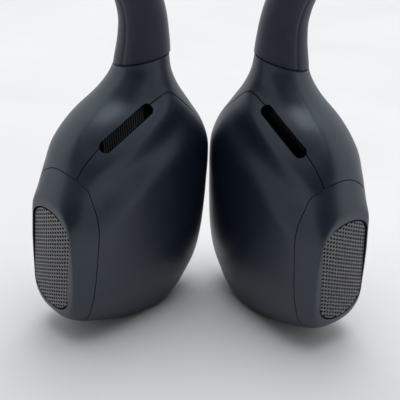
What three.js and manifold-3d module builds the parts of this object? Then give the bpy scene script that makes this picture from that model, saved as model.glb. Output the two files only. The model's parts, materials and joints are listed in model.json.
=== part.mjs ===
// Bone conduction headphones: two pods, two ear hooks, two modules and a neckband.
// Millimetres. +Z is up, +Y is the wearer's front and +X the wearer's right. Z = 0 is the table.
// Every piece is modelled for the right-hand side, and the left-hand side has its mirror image.

import * as THREE from "three";
import { mergeVertices } from "three/addons/utils/BufferGeometryUtils.js";
import Module from "manifold-3d";

// ---------- driving dimensions ----------

const GAP = 0.2;                      // clearance between neighbouring pieces
const WALL = 1.1;                     // wall of the moulded shells
const FRAME_Y = 42.6;                 // moves the origin to the middle of the footprint

// Where each pod stands at rest: its grille's distance from the middle, its place before FRAME_Y and
// its toe-in in degrees. The arms are springy, so the two pods don't lie quite alike.
const PODS = {
  right: { side: 1, x: 16.4, y: -2.4, turn: 40 },
  left: { side: -1, x: 16.4, y: -3.8, turn: 42.8 },
};

// Pod sections from the table up: height, rear end, front end, half thickness to the head and away.
const POD_SECTIONS = [
  [0.0, 8.5, 13.5, 1.2, 1.2],
  [0.4, 6.5, 16.8, 3.3, 3.3],
  [1.2, 4.2, 18.6, 3.9, 4.4],
  [2.6, 0.8, 20.0, 4.4, 5.2],
  [5.0, -2.0, 21.4, 5.1, 5.65],
  [8.0, -2.7, 22.1, 5.6, 5.25],
  [12.0, -2.6, 22.5, 5.8, 4.85],
  [15.5, -1.7, 22.6, 5.9, 4.8],
  [18.0, 0.05, 22.6, 5.9, 5.7],
  [20.5, 1.2, 22.3, 5.9, 6.2],
  [23.0, 2.2, 21.2, 5.5, 6.05],
  [25.5, 4.4, 19.3, 4.8, 5.3],
  [28.0, 7.8, 17.4, 3.8, 3.85],
  [30.0, 9.7, 16.4, 3.2, 3.15],
  [32.0, 10.2, 16.1, 2.9, 3.0],
];

// Ring where the silicone sleeve starts: its middle and how it tilts.
const NECK = { t: 0.3, a: 13.2, z: 31, tiltOut: 0.168, tiltBack: 0.156 };

// Seam plane between the two shells.
const SPLIT = { t: -0.6, slope: -0.11 };

// Moulded end cap behind the grille. From the side: its depth at the foot and at the shoulder, and
// the reach and drop of the rounded corner above. From the rear: the arch of its top.
const CAP = { foot: 2.15, footTop: 5, shoulder: 3.05, reach: 2.2, drop: 5.0, top: 21.5 };
const CAP_ARCH = { t: -0.6, halfWidth: 5.2, height: 7.0, top: 21.1 };

// Grille plate: straight sides from bottom to top, half ellipses beyond them. It leans to the head.
// Its seat in the cap leaves a gap round it and a ledge behind it.
const GRILLE = { halfWidth: 3.25, top: 4.0, crown: 2.1, bottom: -3.7, keel: 2.5, thickness: 0.4 };
const GRILLE_PLACE = { t: -0.1, a: 0.2, z: 10.5, lean: 6.3 };
const GRILLE_SEAT = { gap: 0.15, ledge: 0.7 };

// Vent slot along the seam: its middle, its size, and how far it lies to the head side.
const SLOT = { t: -3.5, a: 7.9, z: 25.55, length: 7.6, width: 1.4, depth: 1.7, offset: 0.45 };
const SLOT_ALONG = [-0.054, 0.871, 0.489];
const SLOT_NORMAL = [-0.799, -0.331, 0.502];
const SLOT_MESH = { clearance: 0.15, front: 0.3, back: 0.8 };

// Ear hook centreline in its own upright plane: distance behind the neck, height, radius.
const HOOK_PATH = [
  [-0.3, 30.2, 3.2],
  [-0.5, 33.2, 2.6],
  [-0.2, 36.2, 2.5],
  [1.5, 40.0, 2.45],
  [6.1, 43.2, 2.45],
  [12.8, 43.8, 2.45],
  [20.3, 40.9, 2.5],
  [27.8, 35.8, 2.55],
  [34.3, 30.6, 2.6],
];
const CORE_RADIUS = 0.45;             // titanium wire inside the hooks and the neckband
const BORE_RADIUS = 0.75;             // hole that the wire runs in
const BAND_RADIUS = 2.2;

// Pods: squareness of a section at its rear, low down and at the neck, and at its front, and how
// softly the flat facet for the grille meets the sides, high up and at the table.
const SQUARENESS = { low: 2.7, neck: 2.0, front: 2.15, from: 16, to: 28 };
const FACET_EDGE = { high: 0.35, low: 1.25, from: 14, to: 4 };
const POD_TOP = 32;
const HOLLOW_TOP = 27;

// Small loudspeaker behind the grille, the transducer behind the cheek wall and the pod's board.
const DRIVER = { t: 0.2, z: 10.5, front: 3.0, back: 5.6, halfWidth: 3.0, halfHeight: 5.0, corner: 3 };
const DRIVER_RIM = 0.6;
const TRANSDUCER = { a: 13.0, z: 10.4, radius: 5.1, wall: 0.6 };
const POD_BOARD = { low: [1.2, 8.2, 18.6], high: [1.9, 16.4, 23.6] };

// Left pod's button: its middle, its size, and where its outer face lies.
const BUTTON = { a: 12.3, z: 20.6, length: 8, width: 4, face: 6.35, thickness: 2.4, switchBack: 2.1 };

// Modules behind the ears: their body, the right one's controls and the left one's battery.
const MODULE = { length: 30, halfThick: 4.9, halfHigh: 7.2, end: 3.0, hollowFrom: 0.08, hollowTo: 0.92 };
const VOLUME = { first: 10.5, pitch: 8, length: 6.4, width: 3.2, rise: 0.4, thickness: 2.6 };
const USB = { along: 19, width: 8.6, height: 3.0, wall: 0.45, recess: 0.25, back: -1.4 };
const LIGHT = { low: [0.6, -6.9, 8.6], high: [1.6, -5.0, 9.6] };
const MAIN_BOARD = { low: [1.9, -3.8, 8], high: [2.5, 3.0, 22.5] };
const BATTERY = { halfThick: 2.6, halfHigh: 4.3, corner: 6, from: 7.5, length: 15 };
const BATTERY_BOARD = { low: [-2.4, -3.4, 23.1], high: [2.4, 3.4, 23.9] };

// Cutting blocks reach this far past whatever they cut.
const FAR = 40;

// Neckband centreline from the module to the middle of the back, before FRAME_Y.
const BAND_PATH = [
  [55.2, -46.4, 7.6],
  [60.6, -57.0, 5.4],
  [62.8, -69.0, 3.9],
  [59.6, -80.5, 2.9],
  [50.0, -89.5, 2.4],
  [35.0, -95.4, 2.22],
  [18.0, -98.0, 2.22],
  [0.0, -98.8, 2.22],
];
const HINGE_AT = 4;                   // index of the band point that the arm flexes about
const FLEX_END_AT = 2;

// ---------- materials ----------

function finish(color, roughness, metalness) {
  return new THREE.MeshStandardMaterial({ color, roughness, metalness });
}

const softTouch = finish(0x23262e, 0.5, 0.0);
const silicone = finish(0x34363c, 0.75, 0.0);
const grilleMetal = finish(0x8b8d92, 0.35, 1.0);
const darkMesh = finish(0x0a0b0d, 0.8, 0.0);
const titanium = finish(0xa09c96, 0.35, 1.0);
const magnetMetal = finish(0xb9bcc2, 0.3, 1.0);
const copper = finish(0xb4703a, 0.35, 1.0);
const circuitBoard = finish(0x14513a, 0.6, 0.0);
const blackPlastic = finish(0x17181b, 0.6, 0.0);
const foilPouch = finish(0xc8ccd0, 0.4, 0.6);
const clearPlastic = finish(0xe8f0f2, 0.2, 0.0);
const diaphragmFilm = finish(0xd8d4c4, 0.5, 0.0);

// ---------- solids and booleans ----------

const wasm = await Module();
wasm.setup();

function toSolid(geometry) {
  const bare = geometry.clone();
  bare.deleteAttribute("normal");
  bare.deleteAttribute("uv");
  const merged = mergeVertices(bare, 1e-4);
  const mesh = new wasm.Mesh({
    numProp: 3,
    vertProperties: merged.attributes.position.array,
    triVerts: Uint32Array.from(merged.index.array),
  });
  return new wasm.Manifold(mesh);
}

function toGeometry(solid) {
  const mesh = solid.getMesh();
  const geometry = new THREE.BufferGeometry();
  const positions = Float32Array.from(mesh.vertProperties);
  geometry.setAttribute("position", new THREE.BufferAttribute(positions, 3));
  geometry.setIndex(Array.from(mesh.triVerts));
  geometry.computeVertexNormals();
  return geometry;
}

function mirrored(geometry) {
  const copy = geometry.clone();
  copy.scale(-1, 1, 1);
  const position = copy.attributes.position;
  const order = copy.index ? Array.from(copy.index.array) : [...position.array.keys()];
  const count = copy.index ? order.length : position.count;
  const flipped = [];
  for (let i = 0; i < count; i += 3) {
    flipped.push(order[i], order[i + 2], order[i + 1]);
  }
  copy.setIndex(flipped);
  copy.computeVertexNormals();
  return copy;
}

// A closed skin over a row of equal rings, with a flat fan at each end.
function loft(rings) {
  const sides = rings[0].length;
  const points = rings.flat();
  const index = [];
  for (let k = 0; k + 1 < rings.length; k += 1) {
    for (let i = 0; i < sides; i += 1) {
      const j = (i + 1) % sides;
      const low = k * sides;
      const high = low + sides;
      index.push(low + i, low + j, high + j, low + i, high + j, high + i);
    }
  }
  const ends = [[rings[0], 0, -1], [rings.at(-1), (rings.length - 1) * sides, 1]];
  for (const [ring, first, turn] of ends) {
    const centre = new THREE.Vector3();
    ring.forEach((point) => centre.addScaledVector(point, 1 / sides));
    points.push(centre);
    for (let i = 0; i < sides; i += 1) {
      const j = (i + 1) % sides;
      index.push(points.length - 1, first + (turn > 0 ? i : j), first + (turn > 0 ? j : i));
    }
  }
  const geometry = new THREE.BufferGeometry().setFromPoints(points);
  geometry.setIndex(index);
  geometry.computeVertexNormals();
  return geometry;
}

// A smooth curve through (xs, ys), with the slope at each point taken from its two neighbours.
function smooth(xs, ys, x) {
  const last = xs.length - 1;
  let i = xs.findIndex((value) => value >= x) - 1;
  i = Math.min(Math.max(i < 0 && x > xs[last] ? last - 1 : i, 0), last - 1);
  const slope = (k) => {
    const before = Math.max(k - 1, 0);
    const after = Math.min(k + 1, last);
    return (ys[after] - ys[before]) / (xs[after] - xs[before]);
  };
  const step = xs[i + 1] - xs[i];
  const u = (x - xs[i]) / step;
  return (2 * u ** 3 - 3 * u ** 2 + 1) * ys[i] + (u ** 3 - 2 * u ** 2 + u) * step * slope(i)
    + (3 * u ** 2 - 2 * u ** 3) * ys[i + 1] + (u ** 3 - u ** 2) * step * slope(i + 1);
}

function signedPower(value, power) {
  return Math.sign(value) * Math.abs(value) ** power;
}

function superellipse(halfWidth, halfHeight, power, steps = 24) {
  const points = [];
  for (let i = 0; i < steps; i += 1) {
    const angle = (2 * Math.PI * i) / steps;
    points.push(new THREE.Vector2(
      halfWidth * signedPower(Math.cos(angle), 2 / power),
      halfHeight * signedPower(Math.sin(angle), 2 / power),
    ));
  }
  return new THREE.Shape(points);
}

// A rounded bar or disc outline: a box with semicircular ends.
function stadium(length, width) {
  const half = (length - width) / 2;
  const shape = new THREE.Shape();
  shape.absarc(half, 0, width / 2, -Math.PI / 2, Math.PI / 2);
  shape.absarc(-half, 0, width / 2, Math.PI / 2, (3 * Math.PI) / 2);
  return shape;
}

// Extrudes a shape, then sets its own x, y and thickness along the given axes from a corner.
function plate(shape, thickness, xAxis, yAxis, origin, curveSegments = 8) {
  const options = { depth: thickness, bevelEnabled: false, curveSegments };
  const geometry = new THREE.ExtrudeGeometry(shape, options);
  const across = new THREE.Vector3().crossVectors(xAxis, yAxis).normalize();
  const place = new THREE.Matrix4().makeBasis(xAxis, yAxis, across).setPosition(origin);
  return geometry.applyMatrix4(place);
}

const T = new THREE.Vector3(1, 0, 0);
const A = new THREE.Vector3(0, 1, 0);
const UP = new THREE.Vector3(0, 0, 1);
const at = (x, y, z) => new THREE.Vector3(x, y, z);

function box(low, high) {
  const geometry = new THREE.BoxGeometry(high[0] - low[0], high[1] - low[1], high[2] - low[2]);
  return geometry.translate((low[0] + high[0]) / 2, (low[1] + high[1]) / 2, (low[2] + high[2]) / 2);
}

// A disc, ring or cup about the pod's thickness axis: profile points are [radius, t].
function turned(profile, a, z, sides = 24) {
  const points = profile.map(([radius, t]) => new THREE.Vector2(radius, t));
  const geometry = new THREE.LatheGeometry(points, sides);
  geometry.rotateZ(-Math.PI / 2);
  return geometry.translate(0, a, z);
}

// ---------- pod ----------

// One level section of the pod, in the pod's own t (thickness), a (length) and z.
function podRing(z, inset, sides) {
  const heights = POD_SECTIONS.map((row) => row[0]);
  const column = (k) => smooth(heights, POD_SECTIONS.map((row) => row[k]), z);
  const [rear, front, inner, outer] = [1, 2, 3, 4].map(column);
  const rise = THREE.MathUtils.smoothstep(z, SQUARENESS.from, SQUARENESS.to);
  const squareness = THREE.MathUtils.lerp(SQUARENESS.low, SQUARENESS.neck, rise);
  const middle = (rear + front) / 2;
  const half = (front - rear) / 2 - inset;
  const edge = THREE.MathUtils.clamp((FACET_EDGE.from - z) / (FACET_EDGE.from - FACET_EDGE.to), 0, 1);
  const softness = THREE.MathUtils.lerp(FACET_EDGE.high, FACET_EDGE.low, edge);
  const ring = [];
  for (let i = 0; i < sides; i += 1) {
    const angle = (2 * Math.PI * i) / sides;
    const power = 2 / (Math.cos(angle) < 0 ? squareness : SQUARENESS.front);
    const along = middle + half * signedPower(Math.cos(angle), power) - inset;
    const thickness = Math.sin(angle) < 0 ? inner - inset : outer - inset;
    const flat = inset + 0.5 * (along + Math.sqrt(along ** 2 + softness ** 2));
    ring.push(at(-thickness * signedPower(-Math.sin(angle), power), flat, z));
  }
  return ring.reverse();
}

function podSolid(low, high, inset, levels, sides) {
  const rings = [];
  for (let k = 0; k <= levels; k += 1) {
    const share = k / levels;
    const eased = THREE.MathUtils.lerp(share, (1 - Math.cos(Math.PI * share)) / 2, 0.55);
    rings.push(podRing(THREE.MathUtils.lerp(low, high, eased), inset, sides));
  }
  return toSolid(loft(rings));
}

// Everything on the outer side of the seam plane, moved by a clearance.
function outerHalf(clearance) {
  const seam = (z) => SPLIT.t + SPLIT.slope * z + clearance;
  const shape = new THREE.Shape([
    new THREE.Vector2(seam(-FAR), -FAR),
    new THREE.Vector2(FAR, -FAR),
    new THREE.Vector2(FAR, FAR),
    new THREE.Vector2(seam(FAR), FAR),
  ]);
  return toSolid(plate(shape, 2 * FAR, T, UP, at(0, FAR, 0)));
}

// What the end cap fills as seen from the side, grown by a clearance.
function capFromSide(grow) {
  const { foot, footTop, shoulder, reach, drop, top } = CAP;
  const shape = new THREE.Shape();
  shape.moveTo(-FAR, -FAR);
  shape.lineTo(foot + grow, -FAR);
  shape.lineTo(foot + grow, footTop);
  shape.absellipse(shoulder - reach, top - drop, reach + grow, drop + grow, 0, Math.PI / 2);
  shape.lineTo(-FAR, top + grow);
  return toSolid(plate(shape, 2 * FAR, A, UP, at(-FAR, 0, 0), 16));
}

// The same as seen from the rear, where its top is an arch.
function capFromRear(grow) {
  const { t, halfWidth, height, top } = CAP_ARCH;
  const shape = new THREE.Shape();
  shape.moveTo(-FAR, -FAR);
  shape.lineTo(FAR, -FAR);
  shape.lineTo(FAR, top - height);
  shape.absellipse(t, top - height, halfWidth + grow, height + grow, 0, Math.PI);
  shape.lineTo(-FAR, top - height);
  return toSolid(plate(shape, 2 * FAR, T, UP, at(0, FAR, 0), 16));
}

function capBlock(grow) {
  return capFromSide(grow).intersect(capFromRear(grow));
}

// Straight sides between a flattened crown and a rounder lower end.
function grilleOutline(grow) {
  const half = GRILLE.halfWidth + grow;
  const shape = new THREE.Shape();
  shape.moveTo(half, GRILLE.bottom);
  shape.lineTo(half, GRILLE.top);
  shape.absellipse(0, GRILLE.top, half, GRILLE.crown + grow, 0, Math.PI);
  shape.lineTo(-half, GRILLE.bottom);
  shape.absellipse(0, GRILLE.bottom, half, GRILLE.keel + grow, Math.PI, 2 * Math.PI);
  return shape;
}

function grillePlate(grow, low, high) {
  const lean = THREE.MathUtils.degToRad(GRILLE_PLACE.lean);
  const across = at(Math.cos(lean), 0, Math.sin(lean));
  const upward = at(-Math.sin(lean), 0, Math.cos(lean));
  const origin = at(GRILLE_PLACE.t, high, GRILLE_PLACE.z);
  return plate(grilleOutline(grow), high - low, across, upward, origin);
}

function speakerGrille() {
  return grillePlate(0, GRILLE_PLACE.a, GRILLE_PLACE.a + GRILLE.thickness);
}

// Everything below the ring where the silicone sleeve meets the neck, which dips to the wearer's rear.
function belowNeck(offset) {
  const normal = at(NECK.tiltOut, -NECK.tiltBack, 1).normalize();
  const block = box([-FAR, -FAR, -2 * FAR], [FAR, FAR, 0]);
  block.applyQuaternion(new THREE.Quaternion().setFromUnitVectors(UP, normal));
  return toSolid(block.translate(NECK.t, NECK.a, NECK.z + offset));
}

// The vent slot opens along the seam, on its head side.
function slotPlate(grow, outward, inward) {
  const along = at(...SLOT_ALONG).normalize();
  const normal = at(...SLOT_NORMAL).normalize();
  const across = new THREE.Vector3().crossVectors(normal, along);
  const origin = at(SLOT.t, SLOT.a, SLOT.z);
  origin.addScaledVector(normal, -inward).addScaledVector(across, SLOT.offset);
  const outline = stadium(SLOT.length + 2 * grow, SLOT.width + 2 * grow);
  return plate(outline, outward + inward, along, across, origin, 5);
}

function slotMesh() {
  return slotPlate(-SLOT_MESH.clearance, -SLOT_MESH.front, SLOT_MESH.back);
}

// The pod before it is split into pieces: hollow, with a bore up into the hook and a level-cut neck.
function hollowPod() {
  const skin = podSolid(0, POD_TOP, 0, 18, 28);
  const hollow = podSolid(WALL, HOLLOW_TOP, WALL, 8, 16);
  const boreHeight = POD_TOP + 2 - HOLLOW_TOP + 2;
  const bore = new THREE.CylinderGeometry(BORE_RADIUS, BORE_RADIUS, boreHeight, 12);
  bore.rotateX(Math.PI / 2).translate(NECK.t, NECK.a, POD_TOP + 2 - boreHeight / 2);
  return skin.subtract(hollow).subtract(toSolid(bore)).intersect(belowNeck(0));
}

function podShells() {
  const pod = hollowPod();
  const body = pod.subtract(capBlock(GAP)).subtract(toSolid(slotPlate(0, WALL, SLOT.depth)));
  const seatDepth = GRILLE_PLACE.a + GRILLE.thickness + 0.05;
  const seat = toSolid(grillePlate(GRILLE_SEAT.gap, -WALL, seatDepth));
  const port = toSolid(grillePlate(-GRILLE_SEAT.ledge, -WALL, seatDepth + 2 * WALL));
  return {
    outer: body.intersect(outerHalf(GAP / 2)),
    inner: body.subtract(outerHalf(-GAP / 2)),
    cap: pod.intersect(capBlock(0)).subtract(seat).subtract(port),
  };
}

function buttonHole() {
  const outline = stadium(BUTTON.length + 2 * GAP, BUTTON.width + 2 * GAP);
  const innerFace = BUTTON.face - BUTTON.thickness;
  return toSolid(plate(outline, FAR, A, UP, at(innerFace - WALL, BUTTON.a, BUTTON.z)));
}

function podPieces(side) {
  const { outer, inner, cap } = podShells();
  const outerShell = side < 0 ? outer.subtract(buttonHole()) : outer;
  return [
    ["pod_outer_shell", toGeometry(outerShell), softTouch],
    ["pod_inner_shell", toGeometry(inner), softTouch],
    ["pod_end_cap", toGeometry(cap), softTouch],
    ["speaker_grille", speakerGrille(), grilleMetal],
    ["slot_vent_mesh", slotMesh(), darkMesh],
    ["air_driver_frame", toGeometry(airDriverFrame()), blackPlastic],
    ["air_driver_diaphragm", airDriverDiaphragm(), diaphragmFilm],
    ["transducer_yoke", transducerYoke(), titanium],
    ["transducer_magnet", transducerMagnet(), magnetMetal],
    ["transducer_coil", transducerCoil(), copper],
    ["vibration_plate", vibrationPlate(), magnetMetal],
    ["pod_board", podBoard(), circuitBoard],
  ];
}

// Small moving-coil loudspeaker that faces the grille: an open cup with a diaphragm in its mouth.
function driverPlate(grow, low, high) {
  const outline = superellipse(DRIVER.halfWidth + grow, DRIVER.halfHeight + grow, DRIVER.corner);
  return plate(outline, high - low, T, UP, at(DRIVER.t, high, DRIVER.z));
}

function airDriverFrame() {
  const cup = toSolid(driverPlate(0, DRIVER.front, DRIVER.back));
  const well = toSolid(driverPlate(-DRIVER_RIM, DRIVER.front - 1, DRIVER.back - DRIVER_RIM));
  return cup.subtract(well);
}

function airDriverDiaphragm() {
  return driverPlate(-DRIVER_RIM - GAP, DRIVER.front + 0.6, DRIVER.front + 0.9);
}

// The bone conduction transducer: a cup, a magnet, a coil and a plate against the cheek wall.
// Each is turned from an inner and an outer radius and a near and a far face.
function transducerRing(inner, outer, near, far) {
  const profile = [[inner, near], [outer, near], [outer, far], [inner, far], [inner, near]];
  return turned(profile, TRANSDUCER.a, TRANSDUCER.z);
}

function transducerYoke() {
  const { radius, wall, a, z } = TRANSDUCER;
  const [mouth, floor, back] = [-1.2, 1.7, 2.4];
  const inside = radius - wall;
  const cup = [[0, floor], [inside, floor], [inside, mouth], [radius, mouth], [radius, back], [0, back]];
  return turned([...cup, cup[0]], a, z);
}

function transducerMagnet() {
  return transducerRing(0, 2.8, -0.9, 1.4);
}

function transducerCoil() {
  return transducerRing(3.1, 4.1, -1.6, 0.9);
}

function vibrationPlate() {
  return transducerRing(0, 4.9, -2.9, -2.2);
}

function podBoard() {
  return box(POD_BOARD.low, POD_BOARD.high);
}

// ---------- left pod's multifunction button ----------

function multifunctionPieces() {
  const innerFace = BUTTON.face - BUTTON.thickness;
  const place = at(innerFace, BUTTON.a, BUTTON.z);
  const button = plate(stadium(BUTTON.length, BUTTON.width), BUTTON.thickness, A, UP, place);
  const domeSwitch = box([BUTTON.switchBack, BUTTON.a - 1.4, BUTTON.z - 1.2],
    [innerFace - 0.5, BUTTON.a + 1.4, BUTTON.z + 1.2]);
  return [
    ["multifunction_button", button, softTouch],
    ["multifunction_switch", domeSwitch, blackPlastic],
  ];
}

// ---------- sleeves and cores ----------

// Round rings along a share of a curve; side is a direction that the curve never runs along.
function ringsAlong(curve, side, from, to, radiusAt, steps, sides) {
  return Array.from({ length: steps + 1 }, (_, k) => {
    const share = k / steps;
    const place = THREE.MathUtils.lerp(from, to, share);
    const centre = curve.getPointAt(place);
    const ahead = curve.getTangentAt(place);
    const second = new THREE.Vector3().crossVectors(ahead, side).normalize();
    const first = new THREE.Vector3().crossVectors(second, ahead);
    return Array.from({ length: sides }, (_unused, i) => {
      const angle = (2 * Math.PI * i) / sides;
      return centre.clone()
        .addScaledVector(first, radiusAt(share) * Math.cos(angle))
        .addScaledVector(second, radiusAt(share) * Math.sin(angle));
    });
  });
}

// A silicone sleeve with an open bore for its wire.
function sleeve(curve, side, from, to, radiusAt, steps, sides) {
  const outer = ringsAlong(curve, side, from, to, radiusAt, steps, sides);
  return tubeWithBore(outer, ringsAlong(curve, side, from, to, () => BORE_RADIUS, steps, sides));
}

function wire(curve, side, from, to, steps) {
  return loft(ringsAlong(curve, side, from, to, () => CORE_RADIUS, steps, 6));
}

function tubeWithBore(outer, inner) {
  const sides = outer[0].length;
  const points = [...outer.flat(), ...inner.flat()];
  const innerStart = outer.flat().length;
  const last = (outer.length - 1) * sides;
  const index = [];
  const quad = (p, q, r, s) => index.push(p, q, r, p, r, s);
  for (let i = 0; i < sides; i += 1) {
    const j = (i + 1) % sides;
    for (let low = 0; low < last; low += sides) {
      quad(low + i, low + j, low + sides + j, low + sides + i);
      const inside = innerStart + low;
      quad(inside + j, inside + i, inside + sides + i, inside + sides + j);
    }
    quad(j, i, innerStart + i, innerStart + j);
    quad(last + i, last + j, innerStart + last + j, innerStart + last + i);
  }
  const geometry = new THREE.BufferGeometry().setFromPoints(points);
  geometry.setIndex(index);
  geometry.computeVertexNormals();
  return geometry;
}

const hookCurve = new THREE.CatmullRomCurve3(
  HOOK_PATH.map(([behind, z]) => at(NECK.t, NECK.a - behind, z)), false, "centripetal");

function hookPieces() {
  const radii = HOOK_PATH.map((row) => row[2]);
  const places = radii.map((_, i) => i / (radii.length - 1));
  const tube = toSolid(sleeve(hookCurve, T, 0, 1, (share) => smooth(places, radii, share), 20, 8));
  return [
    ["hook_sleeve", toGeometry(tube.subtract(belowNeck(GAP))), silicone],
    ["hook_core", wire(hookCurve, T, 0.02, 0.98, 18), titanium],
  ];
}

// ---------- module behind the ear ----------

// Half sizes along the module: share of its length, half thickness, half height.
function moduleRing(share, inset, sides) {
  const swell = Math.sin(Math.PI * THREE.MathUtils.clamp(share, 0, 1)) ** 0.62;
  const halfThick = THREE.MathUtils.lerp(MODULE.end, MODULE.halfThick, swell) - inset;
  const halfHigh = THREE.MathUtils.lerp(MODULE.end, MODULE.halfHigh, swell) - inset;
  const power = 2 / THREE.MathUtils.lerp(2, 2.6, swell);
  return Array.from({ length: sides }, (_, i) => {
    const angle = (2 * Math.PI * i) / sides;
    return at(halfThick * signedPower(Math.cos(angle), power),
      halfHigh * signedPower(Math.sin(angle), power), share * MODULE.length);
  });
}

function moduleSolid(from, to, inset, levels, sides) {
  const rings = Array.from({ length: levels + 1 }, (_, k) => {
    const eased = (1 - Math.cos((Math.PI * k) / levels)) / 2;
    return moduleRing(from + (to - from) * eased, inset, sides);
  });
  return toSolid(loft(rings));
}

function moduleShells() {
  const skin = moduleSolid(0, 1, 0, 12, 18);
  const hollow = moduleSolid(MODULE.hollowFrom, MODULE.hollowTo, WALL, 6, 12);
  const bore = new THREE.CylinderGeometry(BORE_RADIUS, BORE_RADIUS, FAR, 12);
  bore.rotateX(Math.PI / 2).translate(0, 0, MODULE.length / 2);
  const shell = skin.subtract(hollow).subtract(toSolid(bore));
  const outerSide = toSolid(box([GAP / 2, -FAR, -FAR], [FAR, FAR, FAR]));
  const innerSide = toSolid(box([-FAR, -FAR, -FAR], [-GAP / 2, FAR, FAR]));
  return { outer: shell.intersect(outerSide), inner: shell.intersect(innerSide) };
}

function volumeOutline(grow) {
  return stadium(VOLUME.length + 2 * grow, VOLUME.width + 2 * grow);
}

function volumePlate(k, grow, low, high) {
  return plate(volumeOutline(grow), high - low, UP, T, at(0, low, VOLUME.first + k * VOLUME.pitch));
}

function usbBody(grow, low, high) {
  const outline = stadium(USB.width + 2 * grow, USB.height + 2 * grow);
  return plate(outline, high - low, UP, T, at(0, low, USB.along));
}

function controlPieces() {
  const well = toSolid(usbBody(-USB.wall, -FAR, USB.back - USB.wall));
  const receptacle = toSolid(usbBody(0, USB.recess - MODULE.halfHigh, USB.back)).subtract(well);
  const pieces = [
    ["main_board", box(MAIN_BOARD.low, MAIN_BOARD.high), circuitBoard],
    ["usb_c_receptacle", toGeometry(receptacle), magnetMetal],
    ["charge_light_pipe", box(LIGHT.low, LIGHT.high), clearPlastic],
  ];
  for (const [k, name] of [[0, "volume_up"], [1, "volume_down"]]) {
    const middle = VOLUME.first + k * VOLUME.pitch;
    const top = MODULE.halfHigh + VOLUME.rise;
    const under = top - VOLUME.thickness;
    pieces.push([`${name}_button`, volumePlate(k, 0, under, top), softTouch]);
    const body = box([-1.4, 2.3, middle - 1.5], [1.4, under - 0.5, middle + 1.5]);
    pieces.push([`${name}_switch`, body, blackPlastic]);
  }
  return pieces;
}

function rightModulePieces() {
  let { outer, inner } = moduleShells();
  const holes = [0, 1].map((k) => toSolid(volumePlate(k, GAP, MODULE.halfThick, FAR)));
  holes.push(toSolid(usbBody(GAP, -FAR, USB.back + GAP)));
  const [left, , rear] = LIGHT.low.map((value) => value - GAP);
  const [right, inside, front] = LIGHT.high.map((value) => value + GAP);
  holes.push(toSolid(box([left, -FAR, rear], [right, inside, front])));
  for (const hole of holes) {
    outer = outer.subtract(hole);
    inner = inner.subtract(hole);
  }
  return [
    ["module_outer_shell", toGeometry(outer), softTouch],
    ["module_inner_shell", toGeometry(inner), softTouch],
    ...controlPieces(),
  ];
}

function leftModulePieces() {
  const { outer, inner } = moduleShells();
  const outline = superellipse(BATTERY.halfThick, BATTERY.halfHigh, BATTERY.corner);
  const cell = plate(outline, BATTERY.length, T, A, at(0, 0, BATTERY.from));
  return [
    ["module_outer_shell", toGeometry(outer), softTouch],
    ["module_inner_shell", toGeometry(inner), softTouch],
    ["battery_cell", cell, foilPouch],
    ["battery_board", box(BATTERY_BOARD.low, BATTERY_BOARD.high), circuitBoard],
  ];
}

// ---------- assembly ----------

const headphones = new THREE.Group();

function add(parent, side, pieces) {
  for (const [name, geometry, material] of pieces) {
    const mesh = new THREE.Mesh(side < 0 ? mirrored(geometry) : geometry, material);
    mesh.name = `${side < 0 ? "left" : "right"}_${name}`;
    parent.add(mesh);
  }
}

function podGroup({ side, x, y, turn }) {
  const group = new THREE.Group();
  group.position.set(side * x, y + FRAME_Y, 0);
  group.rotation.z = side * THREE.MathUtils.degToRad(turn);
  add(group, side, podPieces(side));
  add(group, side, hookPieces());
  if (side < 0) {
    add(group, side, multifunctionPieces());
  }
  headphones.add(group);
  return group;
}

// The module carries on from the end of the hook, in line with it.
function moduleGroup(side, pod) {
  const end = hookCurve.getPointAt(1);
  const axis = hookCurve.getTangentAt(1);
  const start = end.clone().addScaledVector(axis, GAP);
  const up = new THREE.Vector3().crossVectors(axis, T);
  const group = new THREE.Group();
  const basis = new THREE.Matrix4().makeBasis(T, up, axis);
  if (side < 0) {
    start.x *= -1;
  }
  group.position.copy(start);
  group.quaternion.setFromRotationMatrix(basis);
  add(group, side, side < 0 ? leftModulePieces() : rightModulePieces());
  pod.add(group);
  return group;
}

// Points of the neckband's centreline on one side, from the end of the module to the back corner.
// They are set down as on the right, so the left side's are mirrored.
function bandPoints(side, module) {
  module.updateWorldMatrix(true, false);
  const heights = [MODULE.length + 2 * GAP, MODULE.length + 4];
  const ends = heights.map((z) => at(0, 0, z).applyMatrix4(module.matrixWorld));
  ends.forEach((point) => {
    point.x *= side;
  });
  const free = BAND_PATH.slice(0, -1).map(([x, y, z]) => at(x, y + FRAME_Y, z));
  return [...ends, ...free];
}

// The whole neckband from one side: its own points, the middle of the back, the other's points.
function bandCurve(own, other) {
  const [x, y, z] = BAND_PATH.at(-1);
  const across = [...other].reverse().map((point) => at(-point.x, point.y, point.z));
  return new THREE.CatmullRomCurve3([...own, at(x, y + FRAME_Y, z), ...across], false, "centripetal");
}

function nearestShare(curve, target) {
  let best = 0;
  for (let share = 0; share <= 0.5; share += 0.0005) {
    if (curve.getPointAt(share).distanceTo(target) < curve.getPointAt(best).distanceTo(target)) {
      best = share;
    }
  }
  return best;
}

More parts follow.
